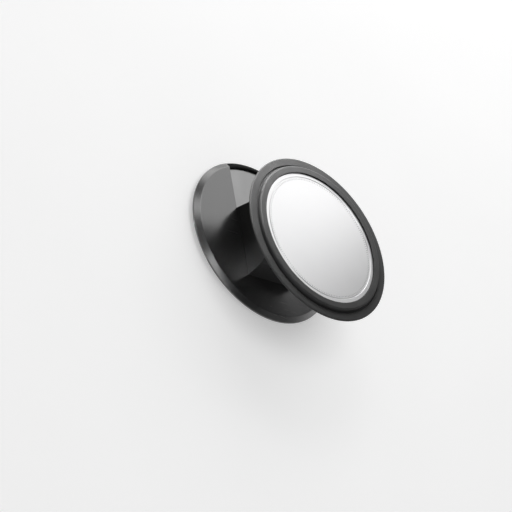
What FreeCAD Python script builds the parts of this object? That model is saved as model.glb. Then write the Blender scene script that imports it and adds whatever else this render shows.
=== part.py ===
import FreeCAD, Part
import math
import os
import re
import Sketcher

# A folding magnetic holder. A thin round magnet base carries a hinge bracket, and a second
# magnet disc with a rubber ring and a satin plate tilts on the bracket's pin.
# The origin is the centre of the base's contact face: +Z out of that face through the disc,
# +X along the hinge pin, +Y towards the side of the base that the disc leaves free.
# Every length is in millimetres and every angle in degrees.
SIZES = (
    ("pad_thickness", 0.4, "contact pad, thickness"),
    ("pad_inset", 0.5, "contact pad, margin to the tray's foot"),
    ("base_radius", 28.9, "magnet base, outer radius"),
    ("tray_floor", 0.4, "base tray, floor"),
    ("tray_inset", 1.0, "base tray, distance of its rim inside the cover's rim"),
    ("tray_wall", 1.35, "base tray, rim wall"),
    ("tray_slant", 1.2, "base tray, width of the slant under the rim"),
    ("tray_slant_rise", 0.9, "base tray, rise of that slant"),
    ("tray_rim", 0.7, "base tray, upright rim above the slant"),
    ("cover_rim", 0.55, "base cover, upright rim above the parting line"),
    ("bevel_width", 1.85, "base cover, width of the bevel round its face"),
    ("cover_wall", 1.4, "base cover, face thickness"),
    ("spigot_wall", 0.6, "base cover, spigot ring inside the tray"),
    ("spigot_depth", 0.6, "base cover, reach of the spigot below the parting line"),
    ("edge_chamfer", 0.25, "chamfer of the moulded edges"),
    ("strip_width", 20.0, "shallow strip sunk in the cover, width"),
    ("strip_depth", 0.8, "shallow strip, depth"),
    ("stop_depth", 1.3, "soft stop in the rim at the strip's end, depth of its recess below the face"),
    ("stop_reach", 0.55, "soft stop, reach of its flat top inside the bevel"),
    ("stop_rim", 0.4, "soft stop, rim left beyond its recess"),
    ("stop_sink", 0.05, "soft stop, depth of its top below the bevel"),
    ("base_magnet_width", 3.9, "base magnets, radial width"),
    ("base_magnet_thickness", 1.2, "base magnets, thickness"),
    ("base_magnet_count", 16, "base magnets, number round the ring"),
    ("magnet_gap", 3.0, "gap between neighbouring magnets, degrees"),
    ("magnet_clearance", 0.1, "clearance round a magnet ring"),
    ("base_yoke_thickness", 0.4, "steel ring behind the base magnets"),
    ("fit_clearance", 0.05, "clearance between pieces that locate each other"),
    ("bracket_shift", 2.7, "bracket, distance of its pin below the base's centre"),
    ("bracket_width", 20.0, "bracket, width along the pin"),
    ("foot_depth", 24.9, "bracket, depth of its foot"),
    ("foot_draft", 9.4, "bracket, draft of its two slanting faces, degrees"),
    ("shoulder_height", 6.6, "bracket, height of the slanting faces"),
    ("hinge_height", 10.8, "hinge pin above the base's face"),
    ("cheek_radius", 6.0, "bracket, rounded top of its two cheeks"),
    ("tongue_width", 9.0, "knuckle, width of the tongue between the cheeks"),
    ("tongue_radius", 5.6, "knuckle, rounded end of the tongue"),
    ("swing_clearance", 0.5, "clearance round what turns about the pin"),
    ("friction_washer_thickness", 0.5, "friction washers beside the tongue, thickness"),
    ("friction_washer_radius", 4.8, "friction washers, outer radius"),
    ("washer_gap", 0.1, "running gap beside a friction washer"),
    ("pin_radius", 2.0, "hinge pin, radius"),
    ("pin_play", 0.05, "hinge pin, radial clearance in the tongue"),
    ("bore_radius", 4.2, "bracket, counterbore for the pin's head and nut"),
    ("cap_thickness", 0.8, "caps that close the counterbores, thickness"),
    ("pin_head_height", 1.8, "hinge pin's head and nut, height"),
    ("pin_head_radius", 3.6, "hinge pin's head, radius"),
    ("nut_flats", 6.4, "hinge nut, width across the flats"),
    ("spring_thickness", 0.3, "cone spring washers, sheet thickness"),
    ("spring_rise", 0.35, "cone spring washers, rise of the cone"),
    ("spring_radius", 3.9, "cone spring washers, outer radius"),
    ("screw_radius", 1.0, "fixing screws, shank radius"),
    ("screw_head_radius", 1.9, "fixing screws, head radius"),
    ("screw_head_height", 1.0, "fixing screws, head height"),
    ("screw_hole_clearance", 0.1, "fixing screws, radial clearance in their holes"),
    ("bracket_screw_spacing", 12.6, "bracket screws, distance between neighbours"),
    ("bracket_screw_bite", 3.0, "bracket screws, length inside the bracket"),
    ("screw_tip_room", 0.2, "fixing screws, room beyond their tips"),
    ("thread_play", 0.02, "radial clearance that stands for the thread"),
    ("knuckle_plate_margin", 2.3, "knuckle, plate on the disc's back, reach beyond its screws"),
    ("knuckle_plate_thickness", 1.6, "knuckle, thickness of that plate"),
    ("knuckle_screw_margin", 1.2, "knuckle screws, clear distance of their heads from the disc magnets"),
    ("knuckle_screw_bite", 1.3, "knuckle screws, length inside the plate"),
    ("disc_shift", 8.75, "disc, distance of its centre below the pin"),
    ("disc_radius", 28.75, "disc, outer radius of the rubber flange"),
    ("shell_wall", 1.6, "disc shell, wall"),
    ("shell_floor", 1.0, "disc shell, floor"),
    ("shell_slant", 2.2, "disc shell, width of the slant round its back"),
    ("shell_slant_rise", 1.4, "disc shell, rise of that slant"),
    ("disc_yoke_thickness", 0.5, "steel ring behind the disc magnets"),
    ("disc_magnet_width", 4.2, "disc magnets, radial width"),
    ("disc_magnet_thickness", 2.4, "disc magnets, thickness"),
    ("disc_magnet_count", 12, "disc magnets, number round the ring"),
    ("tape_thickness", 0.15, "adhesive ring under the face plate, thickness"),
    ("tape_width", 5.6, "adhesive ring, radial width"),
    ("plate_thickness", 0.9, "satin face plate, thickness"),
    ("plate_clearance", 0.15, "clearance round the face plate's edge"),
    ("plate_sink", 0.5, "depth of the face plate below the ring's front"),
    ("ring_lip", 1.4, "rubber ring, reach of its lip over the plate's edge"),
    ("tier_width", 2.6, "rubber ring, width of the raised tier"),
    ("tier_step", 1.2, "rubber ring, height of the tier above the flange"),
    ("groove_width", 0.6, "rubber ring, groove between tier and flange"),
    ("groove_depth", 0.45, "rubber ring, depth of that groove"),
    ("flange_width", 2.65, "rubber ring, width of the outer flange"),
    ("flange_thickness", 0.8, "rubber ring, thickness of the outer flange"),
    ("skirt_width", 1.5, "rubber ring, skirt that grips the shell, width"),
    ("skirt_height", 1.3, "rubber ring, reach of the skirt below the flange"),
    ("rubber_chamfer", 0.5, "rubber ring, chamfer of its tier's outer edge"),
)
ALIASES = {alias for alias, size, note in SIZES}
EDGE_MATCH = 0.005    # how near an edge lies to the place that it is looked for

doc = FreeCAD.newDocument("magnetic_holder")
sheet = doc.addObject("Spreadsheet::Sheet", "Sizes")
for row, (alias, size, note) in enumerate(SIZES, start=1):
    sheet.set(f"A{row}", note)
    sheet.set(f"B{row}", str(size))
    sheet.setAlias(f"B{row}", alias)
doc.recompute()


def sized(text):
    """The same expression with each size named in it read from the sheet."""
    return re.sub(r"[a-z_]+", lambda word: f"Sizes.{word[0]}" if word[0] in ALIASES else word[0], text)


def measure(text):
    """The number that an expression comes to with the sizes as they stand."""
    return float(sheet.evalExpression(sized(text)))


def origin_part(body, role):
    """One of a body's own planes or axes, by its role."""
    return next(feature for feature in body.Origin.OriginFeatures if feature.Role == role)


def new_body(label, along="0", height="0"):
    """An empty body at a place given by expressions."""
    body = doc.addObject("PartDesign::Body", label)
    body.setExpression("Placement.Base.y", sized(along))
    body.setExpression("Placement.Base.z", sized(height))
    return body


def sketch_on(body, role, name, height="0"):
    """A sketch on one of the body's planes, or parallel to it at a height."""
    sketch = body.newObject("Sketcher::SketchObject", name)
    sketch.AttachmentSupport = [(origin_part(body, role), "")]
    sketch.MapMode = "FlatFace"
    sketch.setExpression("AttachmentOffset.Base.z", sized(height))
    return sketch


def tie(sketch, constraint, text):
    """Adds a constraint whose size is an expression."""
    number = sketch.addConstraint(constraint)
    sketch.setExpression(f"Constraints[{number}]", sized(text))


def tie_point(sketch, piece, end, across, up):
    """Holds one point of a sketch at a place given by expressions."""
    tie(sketch, Sketcher.Constraint("DistanceX", -1, 1, piece, end, measure(across)), across)
    tie(sketch, Sketcher.Constraint("DistanceY", -1, 1, piece, end, measure(up)), up)


def join(sketch, pieces):
    """Joins each piece of a sketch to the start of the next."""
    for piece, follower in zip(pieces, pieces[1:]):
        sketch.addConstraint(Sketcher.Constraint("Coincident", piece, 2, follower, 1))


def lines_through(sketch, points):
    """Straight lines from point to point, joined end to end."""
    lines = [
        sketch.addGeometry(Part.LineSegment(FreeCAD.Vector(*start), FreeCAD.Vector(*end)))
        for start, end in zip(points, points[1:])
    ]
    join(sketch, lines)
    return lines


def arc_through(sketch, start, middle, end):
    """An arc through three points."""
    return sketch.addGeometry(Part.Arc(*(FreeCAD.Vector(*point) for point in (start, middle, end))))


def outline(sketch, corners):
    """A closed outline of straight lines through corners given by expressions."""
    points = [(measure(across), measure(up)) for across, up in corners]
    lines = lines_through(sketch, points + points[:1])
    join(sketch, [lines[-1], lines[0]])
    for line, (across, up) in zip(lines, corners):
        tie_point(sketch, line, 1, across, up)


def circle(sketch, radius, across="0", up="0"):
    """A circle whose radius and centre are expressions."""
    centre = FreeCAD.Vector(measure(across), measure(up), 0)
    ring = sketch.addGeometry(Part.Circle(centre, FreeCAD.Vector(0, 0, 1), measure(radius)))
    tie(sketch, Sketcher.Constraint("Radius", ring, measure(radius)), radius)
    tie_point(sketch, ring, 3, across, up)


def corner_circles(sketch, radius, spacing, up="0"):
    """Four equal circles on the corners of a square."""
    for side in ("-", ""):
        for end in ("-", "+"):
            circle(sketch, radius, f"{side}{spacing} / 2", f"{up} {end} {spacing} / 2")


def rim_patch(sketch, inner, outer, half_width):
    """A patch between two arcs about the origin and two straight sides, at the +Y side of the rim."""
    side = measure(half_width)
    near, far = measure(inner), measure(outer)
    low = math.sqrt(near ** 2 - side ** 2)
    high = math.sqrt(far ** 2 - side ** 2)
    near_arc = arc_through(sketch, (side, low), (0, near), (-side, low))
    far_arc = arc_through(sketch, (side, high), (0, far), (-side, high))
    right = lines_through(sketch, [(side, low), (side, high)])[0]
    left = lines_through(sketch, [(-side, low), (-side, high)])[0]
    for line, end in ((right, 1), (left, 2)):
        sketch.addConstraint(Sketcher.Constraint("Coincident", line, 1, near_arc, end))
        sketch.addConstraint(Sketcher.Constraint("Coincident", line, 2, far_arc, end))
        sketch.addConstraint(Sketcher.Constraint("Vertical", line))
    for rim_arc, radius in ((near_arc, inner), (far_arc, outer)):
        sketch.addConstraint(Sketcher.Constraint("Coincident", rim_arc, 3, -1, 1))
        tie(sketch, Sketcher.Constraint("Radius", rim_arc, measure(radius)), radius)
    tie(sketch, Sketcher.Constraint("DistanceX", -1, 1, right, 1, side), half_width)
    tie(sketch, Sketcher.Constraint("DistanceX", -1, 1, left, 1, -side), f"-({half_width})")


def turn(body, name, sections, role="XZ_Plane", axis="V_Axis"):
    """Turns closed sections about an axis of their own sketch."""
    section = sketch_on(body, role, name + "_section")
    for corners in sections:
        outline(section, corners)
    turned = body.newObject("PartDesign::Revolution", name)
    turned.Profile = section
    turned.ReferenceAxis = (section, [axis])
    turned.Angle = 360
    return turned


def turned_disc(label, corners, along="0", height="0"):
    """A round piece turned about Z from its half section, given as radius and height."""
    body = new_body(label, along, height)
    turn(body, label + "_turn", [corners])
    return body


def pad(sketch, length, both_ways=False, reverse=False):
    """Raises a sketch to a solid."""
    raised = sketch.getParentGeoFeatureGroup().newObject("PartDesign::Pad", sketch.Name + "_pad")
    raised.Profile = sketch
    raised.setExpression("Length", sized(length))
    raised.Midplane = both_ways
    raised.Reversed = reverse


def pocket(sketch, length, both_ways=False, reverse=False):
    """Cuts a sketch into the body and makes sure that something was cut away."""
    body = sketch.getParentGeoFeatureGroup()
    doc.recompute()
    whole = body.Shape.Volume
    cut = body.newObject("PartDesign::Pocket", sketch.Name + "_cut")
    cut.Profile = sketch
    cut.setExpression("Length", sized(length))
    cut.Midplane = both_ways
    cut.Reversed = reverse
    doc.recompute()
    if not body.Shape.Volume < whole:
        raise ValueError(f"{cut.Name} cuts nothing")


def chamfer_rims(body, size, rims):
    """Chamfers the circular edges of the body's last feature at the given radii and heights."""
    doc.recompute()
    wanted = [(measure(across), measure(height)) for across, height in rims]
    names = []
    for number, edge in enumerate(body.Tip.Shape.Edges, start=1):
        if not isinstance(edge.Curve, Part.Circle):
            continue
        for across, height in wanted:
            sideways = abs(edge.Curve.Radius - across)
            upwards = abs(edge.Curve.Center.z - height)
            if max(sideways, upwards) < EDGE_MATCH:
                names.append(f"Edge{number}")
    sharp = body.Tip
    chamfer = body.newObject("PartDesign::Chamfer", body.Name + "_chamfer")
    chamfer.Base = (sharp, names)
    chamfer.setExpression("Size", sized(size))


def magnet_ring(label, outer, width, thickness, count, along="0", height="0"):
    """A ring of equal arc magnets with a small gap between neighbours."""
    body = new_body(label, along, height)
    inner = f"({outer} - {width})"
    arc = turn(body, label + "_arc", [[(inner, "0"), (outer, "0"), (outer, thickness), (inner, thickness)]])
    arc.setExpression("Angle", sized(f"360 / {count} - magnet_gap"))
    ring = body.newObject("PartDesign::PolarPattern", label + "_ring")
    ring.Originals = [arc]
    ring.Axis = (origin_part(body, "Z_Axis"), [""])
    ring.Angle = 360
    ring.setExpression("Occurrences", sized(count))
    body.Tip = ring


def corner_screws(label, spacing, length, head_down, along, height):
    """Four equal screws whose heads seat at the given height."""
    body = new_body(label, along, height)
    heads = sketch_on(body, "XY_Plane", label + "_heads")
    corner_circles(heads, "screw_head_radius", spacing)
    pad(heads, "screw_head_height", reverse=head_down)
    shanks = sketch_on(body, "XY_Plane", label + "_shanks")
    corner_circles(shanks, "screw_radius", spacing)
    pad(shanks, length, reverse=not head_down)


def both_ends(section):
    """A section and its mirror image at the other end of the pin."""
    return [section, [(f"-({across})", up) for across, up in section]]


def turned_on_pin(label, sections):
    """Round pieces turned about the hinge pin, given as place along the pin and radius."""
    body = new_body(label, hinge_along, hinge_level)
    turn(body, label + "_turn", sections, "XY_Plane", "H_Axis")


# Heights in the base, from the contact face upwards.
magnet_floor = "(pad_thickness + tray_floor)"
parting = "(pad_thickness + tray_slant_rise + tray_rim)"
yoke_underside = f"({magnet_floor} + base_magnet_thickness)"
ceiling = f"({yoke_underside} + base_yoke_thickness)"
base_face = f"({ceiling} + cover_wall)"
bevel_foot = f"({parting} + cover_rim)"

# Radii in the base.
tray_radius = "(base_radius - tray_inset)"
tray_foot = f"({tray_radius} - tray_slant)"
tray_inside = f"({tray_radius} - tray_wall)"
spigot_outside = f"({tray_inside} - fit_clearance)"
spigot_inside = f"({spigot_outside} - spigot_wall)"
base_magnet_outside = f"({spigot_inside} - magnet_clearance)"
face_radius = "(base_radius - bevel_width)"

# Soft contact pad under the base.
pad_radius = f"({tray_foot} - pad_inset)"
turned_disc("base_pad", [
    ("0", "0"), (pad_radius, "0"), (pad_radius, "pad_thickness"), ("0", "pad_thickness"),
])

# Base tray: a shallow dish that holds the magnets, set in under the cover's rim and slanted towards its foot.
turned_disc("base_tray", [
    ("0", "pad_thickness"),
    (tray_foot, "pad_thickness"),
    (tray_radius, "pad_thickness + tray_slant_rise"),
    (tray_radius, parting),
    (tray_inside, parting),
    (tray_inside, magnet_floor),
    ("0", magnet_floor),
])

# Arc magnets of the base and the steel ring that closes their field.
magnet_ring(
    "base_magnets", base_magnet_outside, "base_magnet_width", "base_magnet_thickness",
    "base_magnet_count", height=magnet_floor,
)
turned_disc("base_yoke", [
    (f"{base_magnet_outside} - base_magnet_width", yoke_underside),
    (base_magnet_outside, yoke_underside),
    (base_magnet_outside, ceiling),
    (f"{base_magnet_outside} - base_magnet_width", ceiling),
])

# Base cover: a bevelled lid with a spigot inside the tray, a shallow strip sunk into its face
# from the bracket to a recess in the rim, and holes for the screws that hold the bracket.
base_cover = turned_disc("base_cover", [
    ("0", ceiling),
    (spigot_inside, ceiling),
    (spigot_inside, f"{parting} - spigot_depth"),
    (spigot_outside, f"{parting} - spigot_depth"),
    (spigot_outside, parting),
    ("base_radius", parting),
    ("base_radius", bevel_foot),
    (face_radius, base_face),
    ("0", base_face),
])
chamfer_rims(base_cover, "edge_chamfer", [("base_radius", bevel_foot), (face_radius, base_face)])
strip = sketch_on(base_cover, "XY_Plane", "strip", base_face)
strip_end = f"({face_radius} - stop_reach)"
strip_start = "(foot_depth / 2 - bracket_shift)"
half_strip = measure("strip_width / 2")
strip_corner = measure(f"sqrt({strip_end} ^ 2 - (strip_width / 2) ^ 2)")
strip_low = measure(strip_start)
strip_points = [
    (-half_strip, strip_corner),
    (-half_strip, strip_low),
    (half_strip, strip_low),
    (half_strip, strip_corner),
]
left_side, near_end, right_side = lines_through(strip, strip_points)
far_end = arc_through(strip, strip_points[3], (0, measure(strip_end)), strip_points[0])
join(strip, [right_side, far_end, left_side])
strip.addConstraint(Sketcher.Constraint("Coincident", far_end, 3, -1, 1))
strip.addConstraint(Sketcher.Constraint("Vertical", left_side))
strip.addConstraint(Sketcher.Constraint("Vertical", right_side))
tie_point(strip, near_end, 1, "-strip_width / 2", strip_start)
tie_point(strip, near_end, 2, "strip_width / 2", strip_start)
tie(strip, Sketcher.Constraint("Radius", far_end, measure(strip_end)), strip_end)
pocket(strip, "strip_depth")
stop_outside = "(base_radius - stop_rim)"
stop_recess = sketch_on(base_cover, "XY_Plane", "stop_recess", base_face)
rim_patch(stop_recess, strip_end, stop_outside, "strip_width / 2")
pocket(stop_recess, "stop_depth")
cover_holes = sketch_on(base_cover, "XY_Plane", "cover_holes", base_face)
corner_circles(cover_holes, "screw_radius + screw_hole_clearance", "bracket_screw_spacing", "-bracket_shift")
pocket(cover_holes, "cover_wall")

# Soft stop set into the rim at the strip's end, its top in line with the cover's face and bevel.
rim_stop = new_body("rim_stop", height=f"{base_face} - stop_depth")
stop_plan = sketch_on(rim_stop, "XY_Plane", "stop_plan")
rim_patch(
    stop_plan, f"{strip_end} + fit_clearance", f"{stop_outside} - fit_clearance",
    "strip_width / 2 - fit_clearance",
)
pad(stop_plan, "stop_depth - stop_sink")
bevel_section = sketch_on(rim_stop, "XZ_Plane", "stop_bevel_section")
outline(bevel_section, [
    (face_radius, "stop_depth - stop_sink"),
    ("base_radius", f"{bevel_foot} - {base_face} + stop_depth - stop_sink"),
    ("base_radius", "2 * stop_depth"),
    (face_radius, "2 * stop_depth"),
])
stop_bevel = rim_stop.newObject("PartDesign::Groove", "stop_bevel")
stop_bevel.Profile = bevel_section
stop_bevel.ReferenceAxis = (bevel_section, ["V_Axis"])
stop_bevel.Angle = 360

# The hinge pin's place, and places along the pin from the bracket's middle outwards.
hinge_along = "-bracket_shift"
hinge_level = f"({base_face} + hinge_height)"
half_slot = "(tongue_width / 2 + washer_gap + friction_washer_thickness)"
cap_inside = "(bracket_width / 2 - cap_thickness)"
head_outside = f"({cap_inside} - fit_clearance)"
head_seat = f"({head_outside} - pin_head_height)"
spring_seat = f"({head_seat} - spring_thickness - spring_rise)"
pin_hole = "(pin_radius + fit_clearance)"

# Neck bracket: a drafted foot that rises to two round-topped cheeks, bored for the pin and
# counterbored on both sides for its head and nut.
neck_bracket = new_body("neck_bracket", hinge_along, base_face)
side = sketch_on(neck_bracket, "YZ_Plane", "bracket_side")
shoulder = "(foot_depth / 2 - shoulder_height * tan(foot_draft * 1deg))"
foot_end = measure("foot_depth / 2")
shoulder_end = measure(shoulder)
shoulder_level = measure("shoulder_height")
pin_level = measure("hinge_height")
cheek = measure("cheek_radius")
cheek_left = (-cheek, pin_level)
cheek_right = (cheek, pin_level)
left_slope, left_face, foot, right_face, right_slope = lines_through(side, [
    cheek_left,
    (-shoulder_end, shoulder_level),
    (-foot_end, 0),
    (foot_end, 0),
    (shoulder_end, shoulder_level),
    cheek_right,
])
crown = arc_through(side, cheek_right, (0, pin_level + cheek), cheek_left)
side.addConstraint(Sketcher.Constraint("Tangent", right_slope, 2, crown, 1))
side.addConstraint(Sketcher.Constraint("Tangent", crown, 2, left_slope, 1))
tie_point(side, foot, 1, "-foot_depth / 2", "0")
tie_point(side, foot, 2, "foot_depth / 2", "0")
tie_point(side, left_slope, 2, f"-{shoulder}", "shoulder_height")
tie_point(side, right_slope, 1, shoulder, "shoulder_height")
tie_point(side, crown, 3, "0", "hinge_height")
tie(side, Sketcher.Constraint("Radius", crown, cheek), "cheek_radius")
pad(side, "bracket_width", both_ways=True)
slot = sketch_on(neck_bracket, "YZ_Plane", "tongue_slot")
slot_floor = "(hinge_height - tongue_radius - swing_clearance)"
slot_top = "(hinge_height + cheek_radius + swing_clearance)"
outline(slot, [
    ("-foot_depth / 2", slot_floor), ("foot_depth / 2", slot_floor),
    ("foot_depth / 2", slot_top), ("-foot_depth / 2", slot_top),
])
pocket(slot, f"2 * {half_slot}", both_ways=True)
bore = sketch_on(neck_bracket, "YZ_Plane", "pin_bore")
circle(bore, pin_hole, "0", "hinge_height")
pocket(bore, "bracket_width", both_ways=True)
for end, sign, turned_round in (("left", "-", True), ("right", "", False)):
    counterbore = sketch_on(neck_bracket, "YZ_Plane", f"counterbore_{end}", f"{sign}bracket_width / 2")
    circle(counterbore, "bore_radius", "0", "hinge_height")
    pocket(counterbore, f"bracket_width / 2 - {spring_seat}", reverse=turned_round)
foot_holes = sketch_on(neck_bracket, "XY_Plane", "foot_holes")
corner_circles(foot_holes, "screw_radius + thread_play", "bracket_screw_spacing")
pocket(foot_holes, "bracket_screw_bite + screw_tip_room", reverse=True)

# Screws that hold the bracket, put in from inside the base.
corner_screws(
    "bracket_screws", "bracket_screw_spacing", "cover_wall + bracket_screw_bite", True, hinge_along, ceiling,
)

# Hinge pin with a round head at one end and a nut on the other.
turned_on_pin("hinge_pin", [[
    (f"-{head_outside}", "0"),
    (f"-{head_outside}", "pin_head_radius"),
    (f"-{head_seat}", "pin_head_radius"),
    (f"-{head_seat}", "pin_radius"),
    (head_outside, "pin_radius"),
    (head_outside, "0"),
]])
hinge_nut = new_body("hinge_nut", hinge_along, hinge_level)
nut_outline = sketch_on(hinge_nut, "YZ_Plane", "nut_outline", head_seat)
nut_corner = "nut_flats / (2 * cos(30deg))"
outline(nut_outline, [
    (f"{nut_corner} * cos({turned}deg)", f"{nut_corner} * sin({turned}deg)") for turned in range(0, 360, 60)
])
circle(nut_outline, "pin_radius + thread_play")
pad(nut_outline, "pin_head_height")

# Cone spring washers under the head and the nut press the cheeks on to the friction washers.
turned_on_pin("spring_washers", both_ends([
    (spring_seat, "spring_radius"),
    (f"{spring_seat} + spring_thickness", "spring_radius"),
    (head_seat, pin_hole),
    (f"{head_seat} - spring_thickness", pin_hole),
]))
turned_on_pin("friction_washers", both_ends([
    (f"{half_slot} - friction_washer_thickness", pin_hole),
    (half_slot, pin_hole),
    (half_slot, "friction_washer_radius"),
    (f"{half_slot} - friction_washer_thickness", "friction_washer_radius"),
]))
turned_on_pin("pin_caps", both_ends([
    (cap_inside, "0"),
    ("bracket_width / 2", "0"),
    ("bracket_width / 2", "bore_radius - fit_clearance"),
    (cap_inside, "bore_radius - fit_clearance"),
]))

# Radii of the disc, from its rubber flange inwards.
tier_outside = "(disc_radius - flange_width - groove_width)"
ring_opening = f"({tier_outside} - tier_width)"
shell_radius = f"({ring_opening} + ring_lip)"
shell_inside = f"({shell_radius} - shell_wall)"
disc_magnet_outside = f"({shell_inside} - magnet_clearance)"
disc_magnet_inside = f"({disc_magnet_outside} - disc_magnet_width)"
plate_radius = f"({shell_radius} - plate_clearance)"

# The knuckle's screws stand on a square about the pin whose far corners keep clear of the magnets,
# and its round plate reaches beyond them.
screw_circle = f"({disc_magnet_inside} - screw_head_radius - knuckle_screw_margin)"
knuckle_screw_spacing = f"(sqrt(2 * {screw_circle} ^ 2 - disc_shift ^ 2) - disc_shift)"
knuckle_radius = f"({knuckle_screw_spacing} / sqrt(2) + knuckle_plate_margin)"

# Hinge knuckle: a round plate on the disc's back with a tongue that turns between the cheeks.
# Its heights count from the pin.
plate_underside = "(cheek_radius + swing_clearance)"
plate_back = f"({plate_underside} + knuckle_plate_thickness)"
hinge_knuckle = turned_disc("hinge_knuckle", [
    ("0", plate_underside),
    (knuckle_radius, plate_underside),
    (knuckle_radius, plate_back),
    ("0", plate_back),
], hinge_along, hinge_level)
chamfer_rims(hinge_knuckle, "edge_chamfer", [(knuckle_radius, plate_underside)])
tongue = sketch_on(hinge_knuckle, "YZ_Plane", "tongue")
tongue_end = measure("tongue_radius")
tongue_root = measure(plate_underside)
tongue_points = [(tongue_end, 0), (tongue_end, tongue_root), (-tongue_end, tongue_root), (-tongue_end, 0)]
right_edge, root_edge, left_edge = lines_through(tongue, tongue_points)
nose = arc_through(tongue, tongue_points[3], (0, -tongue_end), tongue_points[0])
tongue.addConstraint(Sketcher.Constraint("Tangent", left_edge, 2, nose, 1))
tongue.addConstraint(Sketcher.Constraint("Tangent", nose, 2, right_edge, 1))
tongue.addConstraint(Sketcher.Constraint("Coincident", nose, 3, -1, 1))
tongue.addConstraint(Sketcher.Constraint("Horizontal", root_edge))
tie(tongue, Sketcher.Constraint("Radius", nose, tongue_end), "tongue_radius")
tie(tongue, Sketcher.Constraint("DistanceY", -1, 1, root_edge, 1, tongue_root), plate_underside)
tongue.addConstraint(Sketcher.Constraint("Vertical", right_edge))
pad(tongue, "tongue_width", both_ways=True)
tongue_bore = sketch_on(hinge_knuckle, "YZ_Plane", "tongue_bore")
circle(tongue_bore, "pin_radius + pin_play")
pocket(tongue_bore, "tongue_width", both_ways=True)
plate_holes = sketch_on(hinge_knuckle, "XY_Plane", "plate_holes", plate_back)
corner_circles(plate_holes, "screw_radius + thread_play", knuckle_screw_spacing)
pocket(plate_holes, "knuckle_screw_bite + screw_tip_room")

# The disc's own frame: its centre below the pin, its heights from the shell's back.
disc_along = "-(bracket_shift + disc_shift)"
disc_back = f"({hinge_level} + {plate_back})"
disc_magnet_floor = "(shell_floor + disc_yoke_thickness)"
shell_top = f"({disc_magnet_floor} + disc_magnet_thickness)"
plate_seat = f"({shell_top} + tape_thickness)"
plate_front = f"({plate_seat} + plate_thickness)"
ring_front = f"({plate_front} + plate_sink)"
flange_front = f"({ring_front} - tier_step)"
flange_back = f"({flange_front} - flange_thickness)"

# Disc shell: a dish with a slanted back that holds the magnets and the knuckle's screws.
disc_shell = turned_disc("disc_shell", [
    ("0", "0"),
    (f"{shell_radius} - shell_slant", "0"),
    (shell_radius, "shell_slant_rise"),
    (shell_radius, shell_top),
    (shell_inside, shell_top),
    (shell_inside, "shell_floor"),
    ("0", "shell_floor"),
], disc_along, disc_back)
shell_holes = sketch_on(disc_shell, "XY_Plane", "shell_holes", "shell_floor")
corner_circles(shell_holes, "screw_radius + screw_hole_clearance", knuckle_screw_spacing, "disc_shift")
pocket(shell_holes, "shell_floor")
corner_screws(
    "knuckle_screws", knuckle_screw_spacing, "shell_floor + knuckle_screw_bite", False,
    hinge_along, f"{disc_back} + shell_floor",
)

# Steel ring and arc magnets of the disc.
turned_disc("disc_yoke", [
    (disc_magnet_inside, "shell_floor"),
    (disc_magnet_outside, "shell_floor"),
    (disc_magnet_outside, disc_magnet_floor),
    (disc_magnet_inside, disc_magnet_floor),
], disc_along, disc_back)
magnet_ring(
    "disc_magnets", disc_magnet_outside, "disc_magnet_width", "disc_magnet_thickness",
    "disc_magnet_count", disc_along, f"{disc_back} + {disc_magnet_floor}",
)

# Adhesive ring and the satin plate that it holds on the shell's wall.
turned_disc("plate_tape", [
    (f"{plate_radius} - tape_width", shell_top),
    (plate_radius, shell_top),
    (plate_radius, plate_seat),
    (f"{plate_radius} - tape_width", plate_seat),
], disc_along, disc_back)
turned_disc("face_plate", [
    ("0", plate_seat), (plate_radius, plate_seat), (plate_radius, plate_front), ("0", plate_front),
], disc_along, disc_back)

# Rubber ring: a skirt stretched over the shell, a thin outer flange, a groove, and a raised tier
# whose lip reaches over the plate's edge.
rubber_ring = turned_disc("rubber_ring", [
    (ring_opening, plate_front),
    (ring_opening, ring_front),
    (tier_outside, ring_front),
    (tier_outside, f"{flange_front} - groove_depth"),
    (f"{tier_outside} + groove_width", f"{flange_front} - groove_depth"),
    (f"{tier_outside} + groove_width", flange_front),
    ("disc_radius", flange_front),
    ("disc_radius", flange_back),
    (f"{shell_radius} + skirt_width", flange_back),
    (f"{shell_radius} + skirt_width", f"{flange_back} - skirt_height"),
    (shell_radius, f"{flange_back} - skirt_height"),
    (shell_radius, plate_front),
], disc_along, disc_back)
chamfer_rims(rubber_ring, "rubber_chamfer", [(tier_outside, ring_front)])
chamfer_rims(rubber_ring, "edge_chamfer", [
    (ring_opening, ring_front), ("disc_radius", flange_front), ("disc_radius", flange_back),
])

doc.recompute()
failed = [piece.Name for piece in doc.Objects if {"Invalid", "Error"} & set(piece.State)]
if failed:
    raise ValueError(f"these objects failed: {failed}")
bodies = [piece for piece in doc.Objects if piece.TypeId == "PartDesign::Body"]
for body in bodies:
    if body.Shape.isNull() or not body.Shape.isValid():
        raise ValueError(f"{body.Label} has no valid shape")
os.makedirs("parts", exist_ok=True)
for body in bodies:
    body.Shape.exportStep(f"parts/{body.Label}.step")
    print(body.Label, len(body.Shape.Solids), round(body.Shape.Volume, 2))
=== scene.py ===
import math

import bmesh
import bpy
from mathutils import Matrix, Vector


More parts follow.
